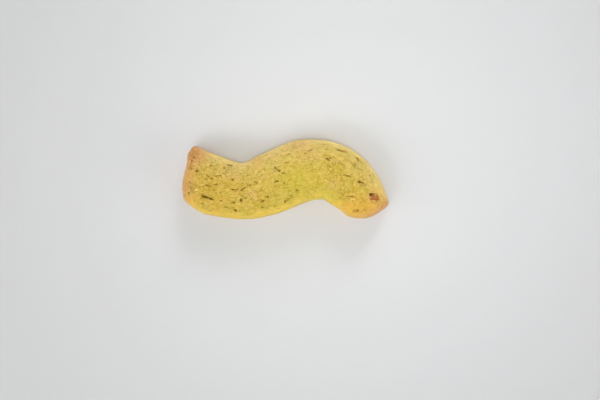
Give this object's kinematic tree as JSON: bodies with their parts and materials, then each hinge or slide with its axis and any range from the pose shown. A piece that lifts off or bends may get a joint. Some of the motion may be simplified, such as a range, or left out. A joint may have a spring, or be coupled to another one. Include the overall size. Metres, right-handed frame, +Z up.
{
  "type": "pistachio cookie",
  "caption": "Short rope of pistachio shortbread baked in a lazy S, blunt at one end and pointed at the other, with a slitted crumb crust and a flat underside.",
  "frame": {"origin": "centre of the footprint's bounding rectangle, at the height of the flat underside", "axes": "+X along the cookie from the blunt end to the pointed end, +Y across it towards the side of its larger hump, +Z up through the domed crust"},
  "size_m": [0.0726, 0.0282, 0.014],
  "materials": {
    "shortbread": "matt baked shortbread: sandy yellow-green crumb with small dark slits, golden brown at both ends, specks of crushed pistachio and its red-brown skin"
  },
  "bodies": {
    "root": {"cookie": "shortbread"}
  },
  "joints": []
}
